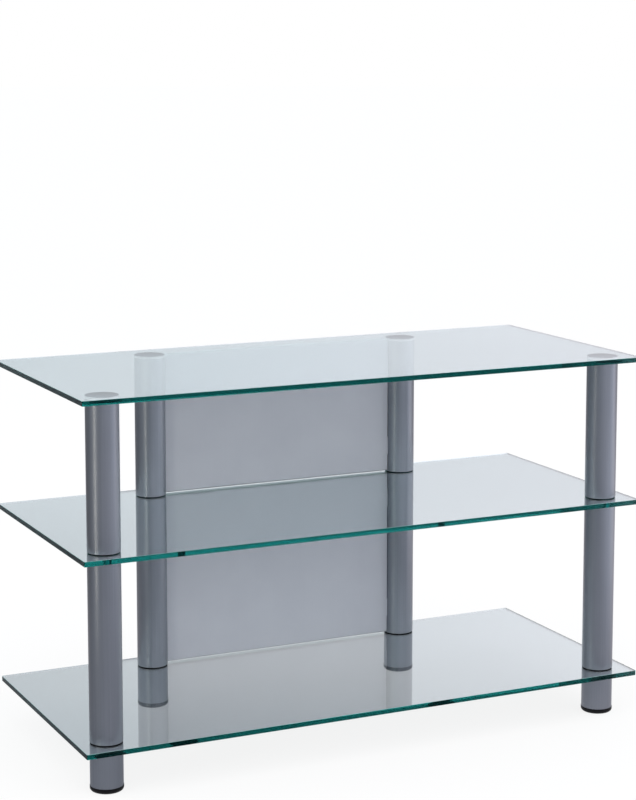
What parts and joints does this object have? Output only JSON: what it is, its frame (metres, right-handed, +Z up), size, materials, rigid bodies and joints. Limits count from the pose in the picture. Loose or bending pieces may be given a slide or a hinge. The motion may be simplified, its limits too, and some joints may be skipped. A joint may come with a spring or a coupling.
{
  "type": "tv stand",
  "caption": "Glass television stand: flat clear shelves clamped between round metal tube legs on black feet, with sheet panels between the back legs.",
  "frame": {"origin": "centre of the footprint, on the floor under the feet", "axes": "+X to the right along the shelves, +Y to the back where the panels are, +Z up"},
  "size_m": [0.95, 0.42, 0.595],
  "materials": {
    "clear_glass": "clear float glass, ground edges with a green tint",
    "tube_lacquer": "satin silver-grey",
    "panel_lacquer": "satin silver-grey sheet",
    "disc_metal": "matt turned",
    "foot_plastic": "black, fine grained",
    "gasket_rubber": "matt black",
    "gasket_clear": "clear soft plastic",
    "insert_plastic": "natural moulded",
    "stud_zinc": "zinc plated"
  },
  "bodies": {
    "root": {"top_shelf": "clear_glass", "middle_shelf": "clear_glass", "bottom_shelf": "clear_glass", "front_left_upper_tube": "tube_lacquer", "front_left_middle_tube": "tube_lacquer", "front_left_lower_tube": "tube_lacquer", "front_right_upper_tube": "tube_lacquer", "front_right_middle_tube": "tube_lacquer", "front_right_lower_tube": "tube_lacquer", "back_left_upper_tube": "tube_lacquer", "back_left_middle_tube": "tube_lacquer", "back_left_lower_tube": "tube_lacquer", "back_right_upper_tube": "tube_lacquer", "back_right_middle_tube": "tube_lacquer", "back_right_lower_tube": "tube_lacquer", "front_left_top_disc": "disc_metal", "front_right_top_disc": "disc_metal", "back_left_top_disc": "disc_metal", "back_right_top_disc": "disc_metal", "front_left_foot": "foot_plastic", "front_right_foot": "foot_plastic", "back_left_foot": "foot_plastic", "back_right_foot": "foot_plastic", "middle_shelf_over_gaskets": "gasket_rubber", "middle_shelf_under_gaskets": "gasket_clear", "bottom_shelf_over_gaskets": "gasket_rubber", "bottom_shelf_under_gaskets": "gasket_clear", "upper_tube_top_inserts": "insert_plastic", "upper_tube_bottom_inserts": "insert_plastic", "middle_tube_top_inserts": "insert_plastic", "middle_tube_bottom_inserts": "insert_plastic", "lower_tube_top_inserts": "insert_plastic", "middle_shelf_studs": "stud_zinc", "bottom_shelf_studs": "stud_zinc", "upper_back_panel": "panel_lacquer", "lower_back_panel": "panel_lacquer"}
  },
  "joints": []
}
